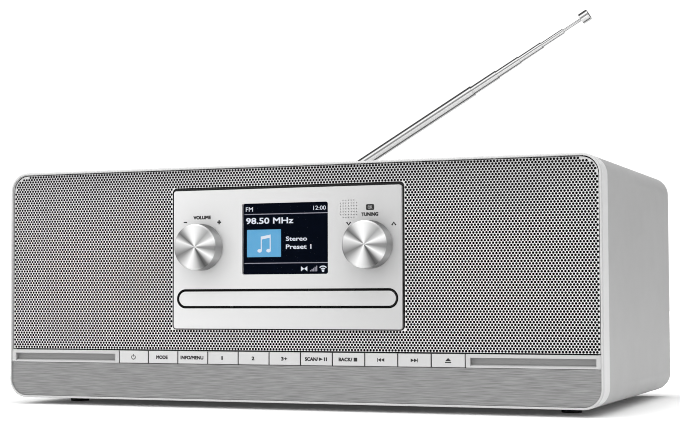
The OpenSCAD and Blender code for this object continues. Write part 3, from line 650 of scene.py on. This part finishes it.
# Black cloth behind the sheets, out to the edge of the grille and round the control panel
cloth = bmesh.new()
CLOTH = (grille_back + 0.1, depth_of(high.y) - 0.05)
cloth_half, cloth_top = half_width + SHEET_GAP, grille_high + SHEET_GAP
cloth_bottom = grille_low - SHEET_GAP
CLOTH_LAP = 0.4                         # how far the cloth reaches into the opening
panel_side = panel_half - CLOTH_LAP
panel_base, panel_top = opening_low + CLOTH_LAP, opening_high - CLOTH_LAP
prism(cloth, rectangle(-cloth_half, cloth_half, cloth_bottom, panel_base), *CLOTH)
for side in (-1, 1):
    prism(cloth, rectangle(*sorted((side * panel_side, side * cloth_half)), panel_base, panel_top), *CLOTH)
prism(cloth, rounded_outline(-cloth_half, cloth_half, panel_top, cloth_top, TOP_CORNERS), *CLOTH)
built("grille_cloth", cloth, black_and_painted_shade, "cabinet")

# ---------------------------------------------------------------- display
SCREEN_DEPTH = depth_of(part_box("display_module")[0].y)
GLOW_FRONT, GLOW_BACK = SCREEN_DEPTH - 0.12, SCREEN_DEPTH - 0.02
white_glow = glowing("white_glow", (0.85, 0.9, 1.0), 0.8)
grey_glow = glowing("grey_glow", (0.35, 0.34, 0.42), 0.8)
blue_glow = glowing("blue_glow", (0.10, 0.42, 0.74), 0.85)
screen_shader.inputs["Emission Color"].default_value = (0.28, 0.46, 1.0, 1)
screen_shader.inputs["Emission Strength"].default_value = 0.0075

# White words and symbols: each text with its left, right, bottom and top ends, and how bold it is
words = bmesh.new()
for text, x0, x1, z0, z1, bold in (
    ("FM", -24.7, -20.3, 107.6, 110.1, 0.0),
    ("12:00", 16.8, 24.4, 107.7, 110.0, 0.0),
    ("98.50 MHz", -24.6, 4.6, 100.5, 104.0, 0.2),
    ("Stereo", 0.1, 13.0, 90.6, 93.1, 0.12),
    ("Preset 1", 0.1, 15.6, 86.0, 88.6, 0.12),
):
    lettering(words, text, x0, x1, z0, z1, GLOW_FRONT, GLOW_BACK, bold)
# Two triangles that meet at their points
BOW_X, BOW_Z, BOW_W, BOW_H = 11.2, 74.9, 1.9, 1.4
for side in (-BOW_W, BOW_W):
    bow = [(BOW_X + side, BOW_Z - BOW_H), (BOW_X + side, BOW_Z + BOW_H), (BOW_X, BOW_Z)]
    prism(words, bow, GLOW_FRONT, GLOW_BACK)
# A dot under two arcs
WAVE_X, WAVE_Z, WAVE_PEN = 22.6, 73.4, 0.6
prism(words, disc(WAVE_X, WAVE_Z + 0.3, 0.75, 0.75, 16), GLOW_FRONT, GLOW_BACK)
for inner in (1.35, 2.55):
    prism(words, ring_part(WAVE_X, WAVE_Z, inner, inner + WAVE_PEN, 45, 135), GLOW_FRONT, GLOW_BACK)
built("display_words", words, white_glow, "cabinet")

# Two grey lines across the display, and the five bars of the signal's strength
rules = bmesh.new()
RULE_HALF_W, RULE_HALF_T = 25.5, 0.22
for z in (106.0, 78.25):
    rule = rectangle(-RULE_HALF_W, RULE_HALF_W, z - RULE_HALF_T, z + RULE_HALF_T)
    prism(rules, rule, GLOW_FRONT, GLOW_BACK)
BARS_X, BAR_PITCH, BAR_W, BAR_H, BAR_RISE = 14.8, 0.92, 0.6, 0.7, 0.6
for i in range(5):
    left = BARS_X + BAR_PITCH * i
    strength = rectangle(left, left + BAR_W, WAVE_Z, WAVE_Z + BAR_H + BAR_RISE * i)
    prism(rules, strength, GLOW_FRONT, GLOW_BACK)
built("display_rules", rules, grey_glow, "cabinet")

tile = bmesh.new()
prism(tile, rectangle(-24.0, -2.95, 81.75, 97.25), GLOW_FRONT + 0.05, GLOW_BACK)
built("display_tile", tile, blue_glow, "cabinet")

# A music note: two heads with their stems, and the beam that joins them. Each stands a little further out
note = bmesh.new()
TILE_FRONT = GLOW_FRONT - 0.06
HEAD_Z, HEAD_W, HEAD_H, STEM_W, STEM_TOP = 85.3, 1.35, 1.0, 0.6, 93.4
for x in (-16.1, -10.6):
    prism(note, disc(x, HEAD_Z, HEAD_W, HEAD_H, 20), TILE_FRONT, TILE_FRONT + 0.1)
    stem = rectangle(x + HEAD_W - STEM_W, x + HEAD_W, HEAD_Z, STEM_TOP)
    prism(note, stem, TILE_FRONT - 0.02, TILE_FRONT + 0.08)
beam = [(-15.35, 91.6), (-9.25, 92.7), (-9.25, 94.4), (-15.35, 93.3)]
prism(note, beam, TILE_FRONT - 0.04, TILE_FRONT + 0.06)
built("display_note", note, white_glow, "cabinet")

# ---------------------------------------------------------------- printed legends
PANEL_FACE = depth_of(panel_low.y)
ink_front, ink_back = PANEL_FACE - INK_PROUD, PANEL_FACE + INK_PROUD

PANEL_BOLD = 0.3
print_on_panel = bmesh.new()
lettering(print_on_panel, "VOLUME", -57.1, -45.9, 103.75, 105.8, ink_front, ink_back, PANEL_BOLD)
lettering(print_on_panel, "TUNING", 46.2, 56.2, 103.45, 105.5, ink_front, ink_back, PANEL_BOLD)
minus = rectangle(-63.4, -61.2, 101.9, 102.5)
prism(print_on_panel, minus, ink_front, ink_back)
PLUS_X, PLUS_Z, ARM, PEN = -40.7, 101.9, 1.2, 0.42
prism(print_on_panel, [(PLUS_X + x, PLUS_Z + z) for x, z in (
    (-ARM, -PEN), (-PEN, -PEN), (-PEN, -ARM), (PEN, -ARM), (PEN, -PEN), (ARM, -PEN),
    (ARM, PEN), (PEN, PEN), (PEN, ARM), (-PEN, ARM), (-PEN, PEN), (-ARM, PEN))], ink_front, ink_back)
ARROW_HALF, ARROW_PEN = 1.2, 0.8
for x, z, rise in ((38.7, 99.6, -0.8), (65.2, 98.9, 0.8)):
    arrow = stroke([(x - ARROW_HALF, z - rise), (x, z + rise), (x + ARROW_HALF, z - rise)], ARROW_PEN)
    prism(print_on_panel, arrow, ink_front, ink_back)
badge_outline = rounded_outline(49.0, 53.8, 106.7, 110.0, [0.8] * 4)
prism(print_on_panel, badge_outline, ink_front, ink_back)
built("panel_print", print_on_panel, ink, "cabinet")
badge = bmesh.new()
lettering(badge, "OK", 50.1, 52.7, 107.5, 109.2, ink_front - INK_PROUD, ink_front + 0.01)
built("badge_print", badge, MATERIALS["panel_silver"], "cabinet")

# A black line inside the edge of the tray's front, which widens the black collar round it: partly the
# collar's colour, partly painted shade of the gap
front_low, front_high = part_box("tray_front")
TRAY_FACE = depth_of(front_low.y)
TRAY_LINE = 0.42
tray_half = front_high.x / MM
tray_low, tray_high = height_of(front_low.z), height_of(front_high.z)
tray_radius = (tray_high - tray_low) / 2 - 0.01     # so that no two corners meet in one point
tray_line = bmesh.new()
tray_edge, tray_inside = [
    rounded_outline(-tray_half + inset, tray_half - inset, tray_low + inset, tray_high - inset,
                    [tray_radius - inset] * 4, 12)
    for inset in (0, TRAY_LINE)]
band(tray_line, tray_inside, tray_edge, TRAY_FACE - INK_PROUD, TRAY_FACE + INK_PROUD)
built("tray_line", tray_line, black_and_painted_shade, "disc_drawer")

# Captions and symbols on the keys: texts with their left and right ends, then outlines
KEY_FACE = depth_of(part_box("key_power")[0].y)
key_ink = (KEY_FACE - INK_PROUD, KEY_FACE + INK_PROUD)
CAP_LOW, CAP_HIGH = 23.65, 25.75
KEY_BOLD = 0.26
CAP_MID = (CAP_LOW + CAP_HIGH) / 2


def triangle(x0, x1):
    """A triangle as high as the captions, which points from x0 to x1."""
    return [(x0, CAP_LOW), (x1, CAP_MID), (x0, CAP_HIGH)]


def bar(x0, x1):
    """An upright bar as high as the captions."""
    return rectangle(x0, x1, CAP_LOW, CAP_HIGH)


KEY_PRINT = {
    "key_power": ([], [ring_part(-95.9, 24.6, 1.0, 1.45, 125, 415, 20),
                       rectangle(-96.12, -95.68, 24.9, 26.35)]),
    "key_mode": ([("MODE", -81.0, -73.5)], []),
    "key_menu": ([("INFO/MENU", -65.2, -50.6)], []),
    "key_one": ([("1", -39.2, -38.3)], []),
    "key_two": ([("2", -20.3, -18.6)], []),
    "key_three_plus": ([("3+", -2.2, 1.6)], []),
    "key_scan": ([("SCAN/", 12.3, 20.2)], [triangle(20.7, 23.2), bar(23.7, 24.4), bar(24.9, 25.6)]),
    "key_back": ([("BACK/", 32.5, 40.6)], [bar(41.4, 43.5)]),
    "key_previous": ([], [bar(55.1, 55.5), triangle(57.4, 55.5), triangle(59.3, 57.4)]),
    "key_next": ([], [bar(78.3, 78.7), triangle(76.4, 78.3), triangle(74.5, 76.4)]),
    "key_eject": ([], [[(94.0, 24.45), (97.5, 24.45), (95.75, 26.2)], rectangle(94.0, 97.5, 23.5, 24.05)]),
}
for key, (texts, shapes) in KEY_PRINT.items():
    legend = bmesh.new()
    for text, x0, x1 in texts:
        lettering(legend, text, x0, x1, CAP_LOW, CAP_HIGH, *key_ink, KEY_BOLD)
    for outline in shapes:
        prism(legend, outline, *key_ink)
    built(key + "_print", legend, ink, key)

# Thin printed outlines round the rear sockets, joined by a line
REAR_FACE = depth_of(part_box("rear_cover")[1].y)
REAR_MARGIN, REAR_PEN, REAR_CORNER, REAR_GAP = 3.0, 0.4, 2.0, 0.2
rear_print = bmesh.new()
edges = []
for socket_node in ("power_inlet", "jack_block"):
    socket_low, socket_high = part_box(socket_node)
    x0, x1 = socket_low.x / MM - REAR_MARGIN, socket_high.x / MM + REAR_MARGIN
    z0 = height_of(socket_low.z) - REAR_MARGIN
    z1 = height_of(socket_high.z) + REAR_MARGIN
    outer_line, inner_line = [
        rounded_outline(x0 + inset, x1 - inset, z0 + inset, z1 - inset, [REAR_CORNER - inset] * 4)
        for inset in (0, REAR_PEN)]
    band(rear_print, inner_line, outer_line, REAR_FACE + INK_PROUD, REAR_FACE - INK_PROUD)
    edges.append((x0, x1))
    socket_middle = (z0 + z1) / 2
(_, gap_start), (gap_end, _) = sorted(edges)
half_pen = REAR_PEN / 2
link = rectangle(gap_start + REAR_GAP, gap_end - REAR_GAP, socket_middle - half_pen, socket_middle + half_pen)
prism(rear_print, link, REAR_FACE + INK_PROUD, REAR_FACE - INK_PROUD)
built("rear_print", rear_print, pale_ink, "cabinet")

# ---------------------------------------------------------------- stage, lights and camera
floor_mesh = bpy.data.meshes.new("floor")
REACH = 6.0
floor_mesh.from_pydata([(-REACH, -REACH, 0), (REACH, -REACH, 0), (REACH, REACH, 0), (-REACH, REACH, 0)],
                       [], [(0, 1, 2, 3)])
floor = bpy.data.objects.new("floor", floor_mesh)
bpy.context.scene.collection.objects.link(floor)
floor_paint, floor_tree, floor_shader = surface("floor_paint", grey(0.92), roughness=0.6,
                                                Specular_IOR_Level=0.2)
floor_shader.inputs["Emission Color"].default_value = (*grey(1.0), 1)
floor_place = floor_tree.nodes.new("ShaderNodeTexCoord")
floor_parts = floor_tree.nodes.new("ShaderNodeSeparateXYZ")
floor_tree.links.new(floor_place.outputs["Object"], floor_parts.inputs["Vector"])
outside = []
for axis, half in (("X", cad_box[1][0]), ("Y", -RIM_Y)):
    from_centre = math_node(floor_tree, "ABSOLUTE", floor_parts.outputs[axis])
    outside.append(math_node(floor_tree, "SUBTRACT", from_centre, half))
from_radio = math_node(floor_tree, "MAXIMUM", *outside)
seen_directly = floor_tree.nodes.new("ShaderNodeLightPath").outputs["Is Camera Ray"]
# Painted light: the paper glows by itself, only where the camera sees it directly, more with the distance
# from the radio, so that it fades into the white backdrop
near_glow = spread(floor_tree, from_radio, 0.04, 0.45, 0.0, 0.05)
far_glow = math_node(floor_tree, "ADD", near_glow, spread(floor_tree, from_radio, 0.0, 0.5, 0.05, 0.35))
floor_tree.links.new(math_node(floor_tree, "MULTIPLY", far_glow, seen_directly),
                     floor_shader.inputs["Emission Strength"])
bump(floor_tree, floor_shader, noise(floor_tree, 300), 0.00002, 0.2)
floor_mesh.materials.append(floor_paint)

# The studio: a white backdrop, and for reflections a bright ceiling, grey walls and a dark back wall
world = bpy.data.worlds.new("studio")
world.use_nodes = True
sky = world.node_tree
direction = sky.nodes.new("ShaderNodeTexCoord")
compass = sky.nodes.new("ShaderNodeSeparateXYZ")
sky.links.new(direction.outputs["Generated"], compass.inputs["Vector"])
ceiling = spread(sky, compass.outputs["Z"], 0.5, 1.5, 0.15, 0.7)
behind = spread(sky, compass.outputs["Y"], 1.0, 0.06, -0.15, 0.3)
level_light = math_node(sky, "MULTIPLY", ceiling, behind)
seen = sky.nodes.new("ShaderNodeLightPath").outputs["Is Camera Ray"]
brightness = math_node(sky, "MAXIMUM", level_light, math_node(sky, "MULTIPLY", seen, 1.1))
backdrop = sky.nodes["Background"]
backdrop.inputs["Color"].default_value = (*grey(1.0), 1)
sky.links.new(brightness, backdrop.inputs["Strength"])
bpy.context.scene.world = world


def softbox(name, position, target, width, height, power):
    """A soft rectangular light that faces its target."""
    data = bpy.data.lights.new(name, "AREA")
    data.shape = "RECTANGLE"
    data.size, data.size_y = width, height
    data.energy = power
    lamp = bpy.data.objects.new(name, data)
    lamp.location = position
    lamp.visible_glossy = False
    lamp.rotation_euler = (Vector(target) - Vector(position)).to_track_quat("-Z", "Y").to_euler()
    bpy.context.scene.collection.objects.link(lamp)


softbox("overhead", (0, 0.1, 1.7), (0, 0.1, 0), 2.6, 2.6, 30)
softbox("left_front", (-1.3, -1.5, 0.7), (0, 0, 0.08), 0.9, 0.9, 5)

# The camera: measured from the radio's own edges
FOCAL_PIXELS, IMAGE_WIDTH = 1578.0, 680
CAMERA_AT = at(356.74, -809.6, 58.44)
YAW, PITCH, ROLL = (math.radians(a) for a in (21.747, 3.069, -0.181))
forward = Vector((-math.sin(YAW) * math.cos(PITCH), math.cos(YAW) * math.cos(PITCH), math.sin(PITCH)))
level = forward.cross(Vector((0, 0, 1))).normalized()
upright = level.cross(forward)
right = level * math.cos(ROLL) + upright * math.sin(ROLL)
up = upright * math.cos(ROLL) - level * math.sin(ROLL)
camera_data = bpy.data.cameras.new("camera")
camera_data.sensor_width = 36.0
camera_data.lens = FOCAL_PIXELS / IMAGE_WIDTH * camera_data.sensor_width
camera_data.clip_end = 30
camera = bpy.data.objects.new("camera", camera_data)
camera.matrix_world = Matrix.Translation(CAMERA_AT) @ Matrix((right, up, -forward)).transposed().to_4x4()
bpy.context.scene.collection.objects.link(camera)
scene = bpy.context.scene
scene.camera = camera
scene.view_settings.view_transform = "Standard"
scene.cycles.filter_width = 1.0
